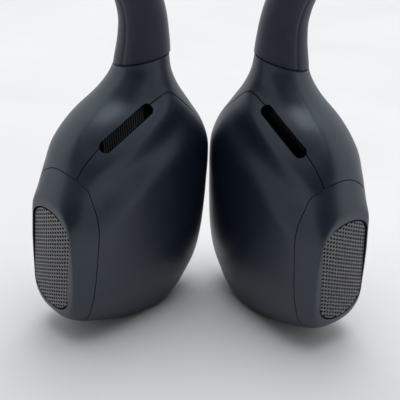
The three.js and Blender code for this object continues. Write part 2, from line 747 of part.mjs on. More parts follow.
function bandPieces(modules) {
  const right = bandPoints(1, modules.right);
  const left = bandPoints(-1, modules.left);
  const even = () => BAND_RADIUS;
  const taper = (u) => THREE.MathUtils.smoothstep(u, 0, 0.4);
  const tapered = (u) => THREE.MathUtils.lerp(MODULE.end - GAP, BAND_RADIUS, taper(u));
  const hinges = [];
  for (const [side, own, other] of [[1, right, left], [-1, left, right]]) {
    const curve = bandCurve(own, other);
    const half = GAP / 2 / curve.getLength();
    const hinge = nearestShare(curve, own[HINGE_AT + 2]);
    const flexEnd = nearestShare(curve, own[FLEX_END_AT + 2]);
    add(headphones, side, [
      ["band_side_sleeve", sleeve(curve, UP, 0, flexEnd - half, tapered, 9, 8), silicone],
      ["band_flex_sleeve", sleeve(curve, UP, flexEnd + half, hinge - half, even, 7, 8), silicone],
      ["band_side_core", wire(curve, UP, 0.002, hinge - 3 * half, 18), titanium],
    ]);
    hinges.push(hinge);
  }
  const curve = bandCurve(right, left);
  const half = GAP / 2 / curve.getLength();
  const [start, end] = [hinges[0] + half, 1 - hinges[1] - half];
  for (const [name, geometry, material] of [
    ["band_rear_sleeve", sleeve(curve, UP, start, end, even, 22, 8), silicone],
    ["band_rear_core", wire(curve, UP, start + 2 * half, end - 2 * half, 24), titanium],
  ]) {
    const mesh = new THREE.Mesh(geometry, material);
    mesh.name = name;
    headphones.add(mesh);
  }
}

const rightPod = podGroup(PODS.right);
const leftPod = podGroup(PODS.left);
bandPieces({ right: moduleGroup(1, rightPod), left: moduleGroup(-1, leftPod) });

export default headphones;
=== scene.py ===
"""Bone conduction headphones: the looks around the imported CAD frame.

The frame is in metres. Shapes are worked out in mm, and a matrix sets each one in its place.
"""

import json
import math

import bmesh
import bpy
import numpy as np
from mathutils import Matrix, Vector


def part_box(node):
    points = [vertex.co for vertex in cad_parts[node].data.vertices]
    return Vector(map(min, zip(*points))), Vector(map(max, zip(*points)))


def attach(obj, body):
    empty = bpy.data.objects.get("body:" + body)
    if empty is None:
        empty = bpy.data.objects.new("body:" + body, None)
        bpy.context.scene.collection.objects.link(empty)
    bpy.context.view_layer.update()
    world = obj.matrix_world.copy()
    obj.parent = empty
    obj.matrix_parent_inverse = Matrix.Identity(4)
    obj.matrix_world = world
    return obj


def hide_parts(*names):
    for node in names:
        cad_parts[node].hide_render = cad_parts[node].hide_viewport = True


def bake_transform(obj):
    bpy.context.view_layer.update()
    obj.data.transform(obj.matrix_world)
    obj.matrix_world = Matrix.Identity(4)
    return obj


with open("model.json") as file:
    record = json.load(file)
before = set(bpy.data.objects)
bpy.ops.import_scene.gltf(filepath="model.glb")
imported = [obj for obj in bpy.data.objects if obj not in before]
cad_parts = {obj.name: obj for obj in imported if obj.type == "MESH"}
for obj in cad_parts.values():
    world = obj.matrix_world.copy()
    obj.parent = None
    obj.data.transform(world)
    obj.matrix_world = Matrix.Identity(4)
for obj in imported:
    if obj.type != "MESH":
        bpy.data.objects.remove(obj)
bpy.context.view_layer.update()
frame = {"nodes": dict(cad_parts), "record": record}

MM = 0.001

# ---------- the frame that the CAD sets ----------

# Each pod's mirror side and toe-in in degrees.
PODS = {"right": (1, 40), "left": (-1, 42.8)}
GRILLE = {"half": 3.25, "top": 4.0, "crown": 2.1, "bottom": -3.7, "keel": 2.5, "bulge": 0.14}
GRILLE_THICKNESS = 0.4
GRILLE_PLACE = np.array((-0.1, 0.4, 10.5))
GRILLE_LEAN = math.radians(6.3)


def grille_outline(grow, steps=48):
    """Straight sides between a flattened crown and a rounder lower end."""
    half = GRILLE["half"] + grow
    top, low = np.linspace(0, math.pi, steps), np.linspace(math.pi, 2 * math.pi, steps)
    crown = np.stack([half * np.cos(top), GRILLE["top"] + (GRILLE["crown"] + grow) * np.sin(top)], -1)
    keel = np.stack([half * np.cos(low), GRILLE["bottom"] + (GRILLE["keel"] + grow) * np.sin(low)], -1)
    rise = np.linspace(GRILLE["bottom"], GRILLE["top"], 16)[1:-1]
    left, right = (np.stack([np.full(len(rise), edge), rise], -1) for edge in (-half, half))
    return np.vstack([crown, left[::-1], keel, right])


GRILLE_ACROSS = np.array((math.cos(GRILLE_LEAN), 0, math.sin(GRILLE_LEAN)))
GRILLE_UP = np.array((-math.sin(GRILLE_LEAN), 0, math.cos(GRILLE_LEAN)))


def grille_corners():
    """The grille plate's outline on both faces, in the pod's t, a and z."""
    outline = grille_outline(0)
    flat = GRILLE_PLACE + outline[:, :1] * GRILLE_ACROSS + outline[:, 1:] * GRILLE_UP
    half = np.array((0, GRILLE_THICKNESS / 2, 0))
    return np.vstack([flat - half, flat + half])


def grille_middle(turned):
    """Middle of the turned grille's box seen from the pod's own upright axis, as t and a."""
    corners = grille_corners()
    spun = corners @ np.array(turned).T
    middle = (spun.min(0) + spun.max(0)) / 2
    return np.linalg.solve(np.array(turned)[:2, :2], middle[:2])


def pod_matrix(name):
    """From the pod's own t (thickness), a (length) and z in mm to the frame.

    The place is worked out from where the CAD grille stands.
    """
    side, turn = PODS[name][0], math.radians(PODS[name][1])
    low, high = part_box(f"{name}_speaker_grille")
    turned = Matrix.Rotation(turn, 3, "Z")
    middle = (low + high) / 2 / MM
    origin = Vector((side * middle.x, middle.y, 0)) - turned @ Vector((*grille_middle(turned), 0))
    mirror = Matrix.Scale(side, 4, (1, 0, 0))
    return Matrix.Scale(MM, 4) @ mirror @ Matrix.Translation(origin) @ Matrix.Rotation(turn, 4, "Z")


PLACES = {name: pod_matrix(name) for name in PODS}


def hinge_place(name):
    for joint in frame["record"]["behaviour"]["joints"]:
        if joint["name"] == f"{name}_band_flex":
            return Vector(joint["pos_m"])


# Pod sections from the table up: height, rear end, front end, half thickness to the head and away.
POD_SECTIONS = np.array([
    [0.0, 8.5, 13.5, 1.2, 1.2],
    [0.4, 6.5, 16.8, 3.3, 3.3],
    [1.2, 4.2, 18.6, 3.9, 4.4],
    [2.6, 0.8, 20.0, 4.4, 5.2],
    [5.0, -2.0, 21.4, 5.1, 5.65],
    [8.0, -2.7, 22.1, 5.6, 5.25],
    [12.0, -2.6, 22.5, 5.8, 4.85],
    [15.5, -1.7, 22.6, 5.9, 4.8],
    [18.0, 0.05, 22.6, 5.9, 5.7],
    [20.5, 1.2, 22.3, 5.9, 6.2],
    [23.0, 2.2, 21.2, 5.5, 6.05],
    [25.5, 4.4, 19.3, 4.8, 5.3],
    [28.0, 7.8, 17.4, 3.8, 3.85],
    [30.0, 9.7, 16.4, 3.2, 3.15],
    [32.0, 10.2, 16.1, 2.9, 3.0],
])
POD_TOP, HOLLOW_TOP = 32, 27
POD_RINGS, POD_SIDES = 170, 224
HOLLOW_RINGS, HOLLOW_SIDES = 40, 64
# Squareness of a section at its rear, low down and at the neck, the heights between those, and at its front.
SQUARENESS = {"low": 2.7, "neck": 2.0, "between": (16, 28), "front": 2.15}
# How softly the flat facet for the grille meets the sides: on the visible skin and on the hollow, what is
# added from low_from downwards over a height of low_over, and what is added on the outer side.
FACET = {"edge": 0.12, "hollow_edge": 0.35, "low": 0.9, "low_from": 12, "low_over": 10,
         "outer": 0.6, "outer_from": 0.2, "outer_to": 0.9}
# Relief of the cheek side. A line's three numbers are its height at RELIEF_FROM, its slope and its bend.
# RELIEF_SLANT is an upright distance from a line over the distance square to it.
RELIEF_FROM = 3
RELIEF_SLANT = 1.2
VALLEY = {"line": (17.6, 0.72, -0.017), "depth": 0.6, "width": 1.75}
CREST = {"line": (15.5, 0.82, -0.02), "depth": -0.16, "width": 1.8}
BROW = {"a": 3.7, "z": 21.4, "slope": 0.55, "depth": 0.6, "start": -0.6, "end": 2.0}
CHEEK_SIDE = (0.15, 0.6)

# The neck's top is a plane that tilts towards the outer side and the rear.
NECK = {"t": 0.3, "a": 13.2, "z": 31, "tilt": 0.23, "toward": (0.73, -0.68),
        "bore_from": 25, "bore_length": 9}
SPLIT = {"t": -0.6, "slope": -0.11}
# The end cap seen from the side, and the arch of its top seen from the rear.
CAP = {"foot": 2.15, "foot_top": 5, "shoulder": 3.05, "reach": 2.2, "drop": 5.0, "top": 21.5}
CAP_ARCH = {"t": -0.6, "half": 5.2, "height": 7.0, "top": 21.1}
# How far the cap's cutting blocks reach to the sides and the rear.
CAP_SIDE = 9
# The grille's seat in the cap: the gap round the plate, the ledge behind it and the opening inside the ledge.
GRILLE_SEAT = {"gap": 0.24, "front": -3, "ledge": 0.9, "lip": 0.5, "back": 4}
GRILLE_HOLE = {"pitch": 0.5, "radius": 0.165, "sides": 12, "ends": (0.5, -0.7), "beyond": 1.02}
GRILLE_CLOTH = {"inset": 0.2, "front": 0.35, "back": 0.5}
# The vent slot: a point on the seam, its size, how far it lies off that point and how deep it is sunk.
SLOT = {"t": -3.5, "a": 7.9, "z": 25.55, "length": 7.6, "width": 1.4, "offset": 0.45, "sunk": 0.7,
        "cut_out": 3, "cut_in": 1.7}
# The sheet under the slot's ribs is painted shade, near-black for the dark hollow behind the vent: its inset
# from the slot's outline, and its top and bottom as reaches outward and inward from the slot's middle.
SLOT_PAINTED_SHADE = {"inset": 0.02, "top": -1.25, "bottom": 1.5}
SLOT_RIB = {"depth": 0.95, "pitch": 0.32, "width": 0.15, "low": -0.1, "high": 0.22, "lean": -0.8,
            "end": 0.7, "side": 0.03}
# Wall thickness of the shells, gap at a seam, and radius of the hole that the wire runs in.
WALL = 1.1
SEAM = 0.09
BORE = 0.75
BORE_SIDES = 24
# The button is thinner than the CAD's, so that it clears its switch at full press.
BUTTON = {"a": 12.3, "z": 20.6, "length": 8.0, "width": 4.0, "face": 6.35, "thickness": 2.34,
          "crown": 0.12, "edge": 0.35, "gap": 0.1, "hole_depth": 4, "hole_length": 6}

# Cutting blocks reach from below the table to above the neck, past the pod's front and past its sides.
BLOCK_LOW, BLOCK_HIGH, BLOCK_FRONT, BLOCK_SIDE = -5, 40, 40, 20

# Along the hook: distance behind the neck's middle, height, radius.
HOOK_PATH = np.array([
    [-0.3, 30.2, 3.2],
    [-0.5, 33.2, 2.6],
    [-0.2, 36.2, 2.5],
    [1.5, 40.0, 2.45],
    [6.1, 43.2, 2.45],
    [12.8, 43.8, 2.45],
    [20.3, 40.9, 2.5],
    [27.8, 35.8, 2.55],
    [34.3, 30.6, 2.6],
])
# The moulding groove along the sleeve: its place and width as angles, its depth as a share of the radius.
HOOK_GROOVE = {"angle": 4.6, "width": 0.055, "depth": 0.035}
HOOK_RINGS, HOOK_SIDES = 150, 96
MODULE = {"length": 30, "half_thick": 4.9, "half_high": 7.2, "end": 3.0, "taper": 0.62, "squareness": 0.6,
          "hollow": (0.08, 0.92), "gap": 0.2}
VOLUME = {"first": 10.5, "pitch": 8.0, "length": 6.4, "width": 3.2, "rise": 0.4, "thickness": 2.5,
          "crown": 0.1, "edge": 0.3, "gap": 0.1, "hole": (4, 10)}
USB = {"along": 19.0, "width": 8.6, "height": 3.0, "recess": 0.25, "back": -1.4, "wall": 0.28,
       "well": (-9, -2), "gap": 0.08, "hole": (-10, -1.2)}
USB_TONGUE = {"width": 6.0, "height": 0.7, "length": 3.9, "recess": 1.0}
LIGHT_HOLE = ((0.55, -10, 8.55), (1.65, -4.5, 9.65))

# Neckband centreline from the module to the middle of the back; y is measured from the front of the frame.
BAND_PATH = np.array([
    [55.2, -46.4, 7.6],
    [60.6, -57.0, 5.4],
    [62.8, -69.0, 3.9],
    [59.6, -80.5, 2.9],
    [50.0, -89.5, 2.4],
    [35.0, -95.4, 2.22],
    [18.0, -98.0, 2.22],
    [0.0, -98.8, 2.22],
])
HINGE_AT = 4
BAND_RADIUS, BAND_CORE_RADIUS = 2.2, 0.45
BAND_SIDES, BAND_CORE_SIDES = 40, 16
# The line's first two points lie this far past the module. The sleeve starts a little narrower than the
# module's end and tapers over this share of a side.
BAND_LEAD = (0.4, 4)
BAND_TAPER = {"under_module": 0.2, "share": 0.22}
# Shares of the whole line: where the bending stretch meets the arm, where it meets the rear, and where the
# side's wire starts.
FLEX_END, REAR_END, CORE_START = 0.09, 0.44, 0.004

# The camera's angles in degrees, its lens and distance in mm, and its target in metres from the pods' middle.
CAMERA = {"azimuth": 1.94, "elevation": 26.87, "roll": 2.62, "lens": 65.3, "distance": 80.5}
CAMERA_TARGET = {"x": -0.00012, "ahead": 0.0031, "z": 0.017}
# The room: its tint, the side that it dims towards, where the dimming starts and ends as the cosine of the
# angle from that side, and the strength at each.
ROOM = {"tint": (0.955, 0.975, 1.0, 1), "dim_side": (0, -0.9, 0.42), "dimming": (0.5, 0.93),
        "strength": (1.0, 0.08)}
OVERHEAD = {"offset": (0, 0.1, 0.6), "size": (0.4, 0.7), "power": 3.3}
FLOOR = {"size": 4, "ahead": 0.5}

# Edges sharper than this, in degrees, are left unsmoothed.
SHARP_EDGE = 32

# The pod's own axes, for flat outlines that are drawn across two of them.
T, A, UP = (1, 0, 0), (0, 1, 0), (0, 0, 1)


# ---------- camera and light ----------

def make_camera():
    """A lens close to the pods, from behind the wearer and above, at the photograph's angle."""
    azimuth, elevation, roll = (math.radians(CAMERA[key]) for key in ("azimuth", "elevation", "roll"))
    distance = CAMERA["distance"] * MM
    middle = (PLACES["right"].translation + PLACES["left"].translation) / 2
    target = Vector((CAMERA_TARGET["x"], middle.y + CAMERA_TARGET["ahead"], CAMERA_TARGET["z"]))
    back = Vector((math.sin(azimuth) * math.cos(elevation), -math.cos(azimuth) * math.cos(elevation),
                   math.sin(elevation)))
    right = Vector((math.cos(azimuth), math.sin(azimuth), 0))
    up = back.cross(right)
    rolled_right = right * math.cos(roll) + up * math.sin(roll)
    rolled_up = up * math.cos(roll) - right * math.sin(roll)
    camera = bpy.data.objects.new("camera", bpy.data.cameras.new("camera"))
    camera.data.sensor_width = 36
    camera.data.lens = CAMERA["lens"]
    camera.data.clip_start = 0.005
    turn = Matrix((rolled_right, rolled_up, back)).transposed().to_4x4()
    camera.matrix_world = Matrix.Translation(target + back * distance) @ turn
    bpy.context.scene.collection.objects.link(camera)
    bpy.context.scene.camera = camera


def area_light(name, place, aim, size, power):
    data = bpy.data.lights.new(name, "AREA")
    data.shape = "RECTANGLE"
    data.size, data.size_y = size
    data.energy = power
    light = bpy.data.objects.new(name, data)
    toward = Vector(aim) - Vector(place)
    light.matrix_world = Matrix.Translation(place) @ toward.to_track_quat("-Z", "Y").to_matrix().to_4x4()
    bpy.context.scene.collection.objects.link(light)


def make_world():
    """A bright room all round, dimmer on the side that the photographer stands on."""
    world = bpy.data.worlds.new("studio")
    world.use_nodes = True
    tree = world.node_tree
    background = tree.nodes["Background"]
    background.inputs["Color"].default_value = ROOM["tint"]
    coords = tree.nodes.new("ShaderNodeTexCoord")
    facing = tree.nodes.new("ShaderNodeVectorMath")
    facing.operation = "DOT_PRODUCT"
    facing.inputs[1].default_value = Vector(ROOM["dim_side"]).normalized()
    tree.links.new(coords.outputs["Generated"], facing.inputs[0])
    strength = tree.nodes.new("ShaderNodeMapRange")
    strength.interpolation_type = "SMOOTHSTEP"
    ends = {"From Min": ROOM["dimming"][0], "From Max": ROOM["dimming"][1],
            "To Min": ROOM["strength"][0], "To Max": ROOM["strength"][1]}
    for socket, value in ends.items():
        strength.inputs[socket].default_value = value
    tree.links.new(facing.outputs["Value"], strength.inputs["Value"])
    tree.links.new(strength.outputs["Result"], background.inputs["Strength"])
    bpy.context.scene.world = world


def make_studio():
    bpy.context.scene.view_settings.view_transform = "Standard"
    make_world()
    middle = (PLACES["right"].translation + PLACES["left"].translation) / 2
    area_light("overhead", middle + Vector(OVERHEAD["offset"]), middle, OVERHEAD["size"], OVERHEAD["power"])
    bpy.ops.mesh.primitive_plane_add(size=FLOOR["size"], location=(0, FLOOR["ahead"], 0))
    floor = bpy.context.object
    floor.name = "floor"
    floor.data.materials.append(floor_material())


# ---------- materials ----------

NOISE_ROUGHNESS = 0.55


def node_material(name):
    material = bpy.data.materials.new(name)
    material.use_nodes = True
    tree = material.node_tree
    return material, tree, tree.nodes["Principled BSDF"]


def link(tree, output, socket):
    tree.links.new(output, socket)


def noise(tree, scale, detail, stretch=None):
    """Noise in the object's own coordinates; scale is in features per metre."""
    coords = tree.nodes.new("ShaderNodeTexCoord")
    texture = tree.nodes.new("ShaderNodeTexNoise")
    texture.inputs["Scale"].default_value = scale
    texture.inputs["Detail"].default_value = detail
    texture.inputs["Roughness"].default_value = NOISE_ROUGHNESS
    source = coords.outputs["Object"]
    if stretch:
        mapping = tree.nodes.new("ShaderNodeMapping")
        mapping.inputs["Scale"].default_value = stretch
        link(tree, source, mapping.inputs["Vector"])
        source = mapping.outputs["Vector"]
    link(tree, source, texture.inputs["Vector"])
    return texture.outputs["Fac"]


def ramp(tree, source, low, high, start=0.35, end=0.65):
    node = tree.nodes.new("ShaderNodeValToRGB")
    node.color_ramp.elements[0].position = start
    node.color_ramp.elements[1].position = end
    node.color_ramp.elements[0].color = (*low, 1)
    node.color_ramp.elements[1].color = (*high, 1)
    link(tree, source, node.inputs["Fac"])
    return node.outputs["Color"]


def span(tree, source, low, high, start=0.3, end=0.7):
    node = tree.nodes.new("ShaderNodeMapRange")
    node.inputs["From Min"].default_value = start
    node.inputs["From Max"].default_value = end
    node.inputs["To Min"].default_value = low
    node.inputs["To Max"].default_value = high
    link(tree, source, node.inputs["Value"])
    return node.outputs["Result"]


def bump(tree, shader, heights):
    """Chains bumps: each is (height output, strength, distance in metres)."""
    previous = None
    for height, strength, distance in heights:
        node = tree.nodes.new("ShaderNodeBump")
        node.inputs["Strength"].default_value = strength
        node.inputs["Distance"].default_value = distance
        link(tree, height, node.inputs["Height"])
        if previous:
            link(tree, previous, node.inputs["Normal"])
        previous = node.outputs["Normal"]
    link(tree, previous, shader.inputs["Normal"])


def mix(tree, fac, first, second):
    node = tree.nodes.new("ShaderNodeMix")
    node.data_type = "RGBA"
    link(tree, fac, node.inputs["Factor"])
    for value, socket in ((first, node.inputs["A"]), (second, node.inputs["B"])):
        if isinstance(value, tuple):
            socket.default_value = (*value, 1)
        else:
            link(tree, value, socket)
    return node.outputs["Result"]


def specks(tree, scale, size, share):
    """Round dust specks in a share of the cells: 1 on a speck, 0 off it. scale is in cells per metre."""
    coords = tree.nodes.new("ShaderNodeTexCoord")
    cells = tree.nodes.new("ShaderNodeTexVoronoi")
    cells.inputs["Scale"].default_value = scale
    link(tree, coords.outputs["Object"], cells.inputs["Vector"])
    near = tree.nodes.new("ShaderNodeMath")
    near.operation = "LESS_THAN"
    near.inputs[1].default_value = size
    link(tree, cells.outputs["Distance"], near.inputs[0])
    chosen = tree.nodes.new("ShaderNodeMath")
    chosen.operation = "LESS_THAN"
    chosen.inputs[1].default_value = share
    channel = tree.nodes.new("ShaderNodeSeparateColor")
    link(tree, cells.outputs["Color"], channel.inputs["Color"])
    link(tree, channel.outputs["Red"], chosen.inputs[0])
    both = tree.nodes.new("ShaderNodeMath")
    both.operation = "MULTIPLY"
    link(tree, near.outputs[0], both.inputs[0])
    link(tree, chosen.outputs[0], both.inputs[1])
    return both.outputs[0]


def soft_touch_material():
    """Satin soft-touch paint over moulded plastic: near-black blue-grey, with a fine even tooth and dust."""
    material, tree, shader = node_material("soft_touch")
    broad = noise(tree, 160, 3)
    grain = noise(tree, 9000, 2)
    colour = ramp(tree, broad, (0.0011, 0.0041, 0.0134), (0.0026, 0.0072, 0.0200))
    dust = specks(tree, scale=520, size=0.035, share=0.05)
    link(tree, mix(tree, dust, colour, (0.12, 0.125, 0.135)), shader.inputs["Base Color"])
    link(tree, span(tree, broad, 0.37, 0.45), shader.inputs["Roughness"])
    shader.inputs["Specular IOR Level"].default_value = 0.85
    shader.inputs["Specular Tint"].default_value = (0.82, 0.92, 1.0, 1)
    bump(tree, shader, [(grain, 0.12, 0.00002), (noise(tree, 700, 2), 0.05, 0.00005)])
    return material


def silicone_material():
    """Matte silicone: greyer than the shells, with a dry bloom and more dust."""
    material, tree, shader = node_material("silicone")
    broad = noise(tree, 220, 4)
    colour = ramp(tree, broad, (0.0070, 0.0100, 0.0205), (0.0130, 0.0170, 0.0300))
    dust = specks(tree, scale=1100, size=0.05, share=0.10)
    link(tree, mix(tree, dust, colour, (0.16, 0.16, 0.165)), shader.inputs["Base Color"])
    link(tree, span(tree, broad, 0.58, 0.70), shader.inputs["Roughness"])
    shader.inputs["Sheen Weight"].default_value = 0.34
    shader.inputs["Sheen Roughness"].default_value = 0.45
    shader.inputs["Sheen Tint"].default_value = (0.86, 0.92, 1.0, 1)
    shader.inputs["Specular Tint"].default_value = (0.86, 0.93, 1.0, 1)
    bump(tree, shader, [(noise(tree, 6000, 3), 0.25, 0.00003), (noise(tree, 900, 3), 0.12, 0.00006)])
    return material


def metal_material(name, low, high, roughness, scale, stretch=None):
    material, tree, shader = node_material(name)
    grain = noise(tree, scale, 3, stretch=stretch)
    link(tree, ramp(tree, grain, low, high), shader.inputs["Base Color"])
    link(tree, span(tree, grain, roughness - 0.06, roughness + 0.08), shader.inputs["Roughness"])
    shader.inputs["Metallic"].default_value = 1.0
    bump(tree, shader, [(grain, 0.08, 0.00002)])
    return material


def plastic_material(name, low, high, roughness, scale=900):
    material, tree, shader = node_material(name)
    grain = noise(tree, scale, 4)
    link(tree, ramp(tree, grain, low, high), shader.inputs["Base Color"])
    link(tree, span(tree, grain, roughness - 0.07, roughness + 0.07), shader.inputs["Roughness"])
    bump(tree, shader, [(noise(tree, 7000, 2), 0.15, 0.00002)])
    return material


def clear_material():
    material, tree, shader = node_material("clear_plastic")
    haze = noise(tree, 1500, 3)
    link(tree, ramp(tree, haze, (0.80, 0.85, 0.88), (0.9, 0.93, 0.95)), shader.inputs["Base Color"])
    link(tree, span(tree, haze, 0.08, 0.2), shader.inputs["Roughness"])
    shader.inputs["Transmission Weight"].default_value = 0.6
    return material


def floor_material():
    """A pale, very slightly mottled table top."""
    material, tree, shader = node_material("floor")
    mottle = noise(tree, 30, 4)
    link(tree, ramp(tree, mottle, (0.58, 0.58, 0.58), (0.61, 0.61, 0.61)), shader.inputs["Base Color"])
    link(tree, span(tree, mottle, 0.5, 0.65), shader.inputs["Roughness"])
    shader.inputs["Specular IOR Level"].default_value = 0.2
    return material


# ---------- mesh helpers, in mm ----------

def mesh_of(points, faces):
    mesh = bpy.data.meshes.new("work")
    mesh.from_pydata([tuple(p) for p in points], [], [tuple(f) for f in faces])
    mesh.update()
    return mesh


def loft(rings):
    """A closed skin over a row of equal rings, with a fan at each end."""
    count, sides = rings.shape[:2]
    points = rings.reshape(-1, 3)
    faces = []
    for k in range(count - 1):
        low, high = k * sides, (k + 1) * sides
        for i in range(sides):
            j = (i + 1) % sides
            faces.append((low + i, low + j, high + j, high + i))
    first = len(points)
    points = np.vstack([points, rings[0].mean(0), rings[-1].mean(0)])
    last = (count - 1) * sides
    for i in range(sides):
        j = (i + 1) % sides
        faces.append((first, j, i))
        faces.append((first + 1, last + i, last + j))
    return mesh_of(points, faces)


def prism(outline, depth, x_axis, y_axis, corner):
    """Extrudes a flat outline along the cross product of its axes."""
    x_axis, y_axis, corner = (np.array(v, float) for v in (x_axis, y_axis, corner))
    across = np.cross(x_axis, y_axis)
    across /= np.linalg.norm(across)
    base = [corner + x_axis * u + y_axis * v for u, v in outline]
    rings = np.array([base, [p + across * depth for p in base]])
    return loft(rings)


def circle(radius, sides):
    angles = np.linspace(0, 2 * math.pi, sides, endpoint=False)
    return np.stack([radius * np.cos(angles), radius * np.sin(angles)], -1)


def stadium(length, width, steps=14):
    half = (length - width) / 2
    points = []
    for centre, start in ((half, -math.pi / 2), (-half, math.pi / 2)):
        for k in range(steps + 1):
            angle = start + math.pi * k / steps
            points.append((centre + width / 2 * math.cos(angle), width / 2 * math.sin(angle)))
    return np.array(points)


def boolean(mesh, cutter, operation):
    """One boolean of two closed meshes; both are used up."""
    scene = bpy.context.scene
    target = bpy.data.objects.new("target", mesh)
    tool = bpy.data.objects.new("tool", cutter)
    scene.collection.objects.link(target)
    scene.collection.objects.link(tool)
    modifier = target.modifiers.new("cut", "BOOLEAN")
    modifier.operation = operation
    modifier.solver = "MANIFOLD"
    modifier.object = tool
    result = bpy.data.meshes.new_from_object(target.evaluated_get(bpy.context.evaluated_depsgraph_get()))
    bpy.data.objects.remove(target)
    bpy.data.objects.remove(tool)
    return result


def cut(mesh, *cutters):
    for cutter in cutters:
        mesh = boolean(mesh.copy(), cutter, "DIFFERENCE")
    return mesh


def keep(mesh, cutter):
    return boolean(mesh.copy(), cutter, "INTERSECT")


def signed_volume(mesh):
    """A closed mesh's volume, below zero where its faces point inwards."""
    work = bmesh.new()
    work.from_mesh(mesh)
    volume = work.calc_volume(signed=True)
    work.free()
    return volume


def piece(name, mesh, material, body, replaces, place):
    """Sets a copy of a mesh in place as a smooth-shaded object with one material, on a body, and hides the
    CAD parts that it replaces.
    """
    mesh = mesh.copy()
    mesh.transform(place)
    if signed_volume(mesh) < 0:
        mesh.flip_normals()
    mesh.polygons.foreach_set("use_smooth", [True] * len(mesh.polygons))
    mesh.set_sharp_from_angle(angle=math.radians(SHARP_EDGE))
    mesh.materials.clear()
    mesh.materials.append(material)
    mesh.name = name
    made = bpy.data.objects.new(name, mesh)
    bpy.context.scene.collection.objects.link(made)
    if body:
        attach(made, body)
    if replaces:
        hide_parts(*replaces)
    return made


# ---------- curves ----------

def smooth(xs, ys, x):
    """A smooth curve through (xs, ys), with the slope at each point taken from its two neighbours."""
    xs, ys, x = np.asarray(xs, float), np.asarray(ys, float), np.asarray(x, float)
    last = len(xs) - 1
    before, after = np.maximum(np.arange(last + 1) - 1, 0), np.minimum(np.arange(last + 1) + 1, last)
    slope = (ys[after] - ys[before]) / (xs[after] - xs[before])
    i = np.clip(np.searchsorted(xs, x) - 1, 0, last - 1)
    step = xs[i + 1] - xs[i]
    u = (x - xs[i]) / step
    return ((2 * u ** 3 - 3 * u ** 2 + 1) * ys[i] + (u ** 3 - 2 * u ** 2 + u) * step * slope[i]
            + (3 * u ** 2 - 2 * u ** 3) * ys[i + 1] + (u ** 3 - u ** 2) * step * slope[i + 1])


def smoothstep(x, low, high):
    u = np.clip((x - low) / (high - low), 0, 1)
    return u * u * (3 - 2 * u)


def signed_power(values, power):
    return np.sign(values) * abs(values) ** power


def catmull(points, per_span=24):
    """A centripetal Catmull-Rom curve through the points, sampled evenly along its length."""
    points = np.asarray(points, float)
    ends = [2 * points[0] - points[1], *points, 2 * points[-1] - points[-2]]
    dense = []
    for p0, p1, p2, p3 in zip(ends, ends[1:], ends[2:], ends[3:]):
        t = np.cumsum([0, *(np.linalg.norm(b - a) ** 0.5 for a, b in ((p0, p1), (p1, p2), (p2, p3)))])
        for s in np.linspace(t[1], t[2], per_span, endpoint=False):
            a1 = (t[1] - s) / (t[1] - t[0]) * p0 + (s - t[0]) / (t[1] - t[0]) * p1
            a2 = (t[2] - s) / (t[2] - t[1]) * p1 + (s - t[1]) / (t[2] - t[1]) * p2
            a3 = (t[3] - s) / (t[3] - t[2]) * p2 + (s - t[2]) / (t[3] - t[2]) * p3
            b1 = (t[2] - s) / (t[2] - t[0]) * a1 + (s - t[0]) / (t[2] - t[0]) * a2
            b2 = (t[3] - s) / (t[3] - t[1]) * a2 + (s - t[1]) / (t[3] - t[1]) * a3
            dense.append((t[2] - s) / (t[2] - t[1]) * b1 + (s - t[1]) / (t[2] - t[1]) * b2)
    dense.append(points[-1])
    return np.array(dense)


def even(points, count, start=0.0, end=1.0):
    """Points at equal steps along a sampled curve, between two shares of its length."""
    lengths = np.concatenate([[0], np.cumsum(np.linalg.norm(np.diff(points, axis=0), axis=1))])
    wanted = np.linspace(start, end, count) * lengths[-1]
    return np.stack([np.interp(wanted, lengths, points[:, k]) for k in range(3)], -1)


def tube_rings(centres, radii, side, sides, shape=None):
    """Rings round a line of centres. side is a direction that the line never runs along.

    shape gives the share of the radius that is left at each angle.
    """
    tangents = np.gradient(centres, axis=0)
    tangents /= np.linalg.norm(tangents, axis=1)[:, None]
    second = np.cross(tangents, np.array(side, float))
    second /= np.linalg.norm(second, axis=1)[:, None]
    first = np.cross(second, tangents)
    angles = np.linspace(0, 2 * math.pi, sides, endpoint=False)
    swell = shape(angles) if shape else np.ones(sides)
    reach = radii[:, None] * swell[None, :]
    return (centres[:, None] + first[:, None] * (reach * np.cos(angles))[..., None]
            + second[:, None] * (reach * np.sin(angles))[..., None])


# ---------- pod ----------

def furrow(a, z, shape):
    """A furrow's depth at a point, from its line on the cheek side; a depth below zero makes it a crest."""
    base, slope, bend = shape["line"]
    reach = a - RELIEF_FROM
    off_line = (z - (base + slope * reach + bend * reach ** 2)) / RELIEF_SLANT
    return shape["depth"] * np.exp(-(off_line / shape["width"]) ** 2)


def relief_depth(a, z):
    """How far the cheek side sinks: a valley under the slot's shoulder, a low crest and the brow."""
    along = smoothstep(a, 0.0, 4.5) * (1 - smoothstep(a, 12.5, 18.5))
    above = z - (BROW["z"] + BROW["slope"] * (a - BROW["a"]))
    brow = (BROW["depth"] * smoothstep(above, BROW["start"], BROW["end"])
            * (1 - smoothstep(a, 11, 15)) * (1 - smoothstep(z, 27, 30)))
    return along * (furrow(a, z, VALLEY) + furrow(a, z, CREST) + brow)


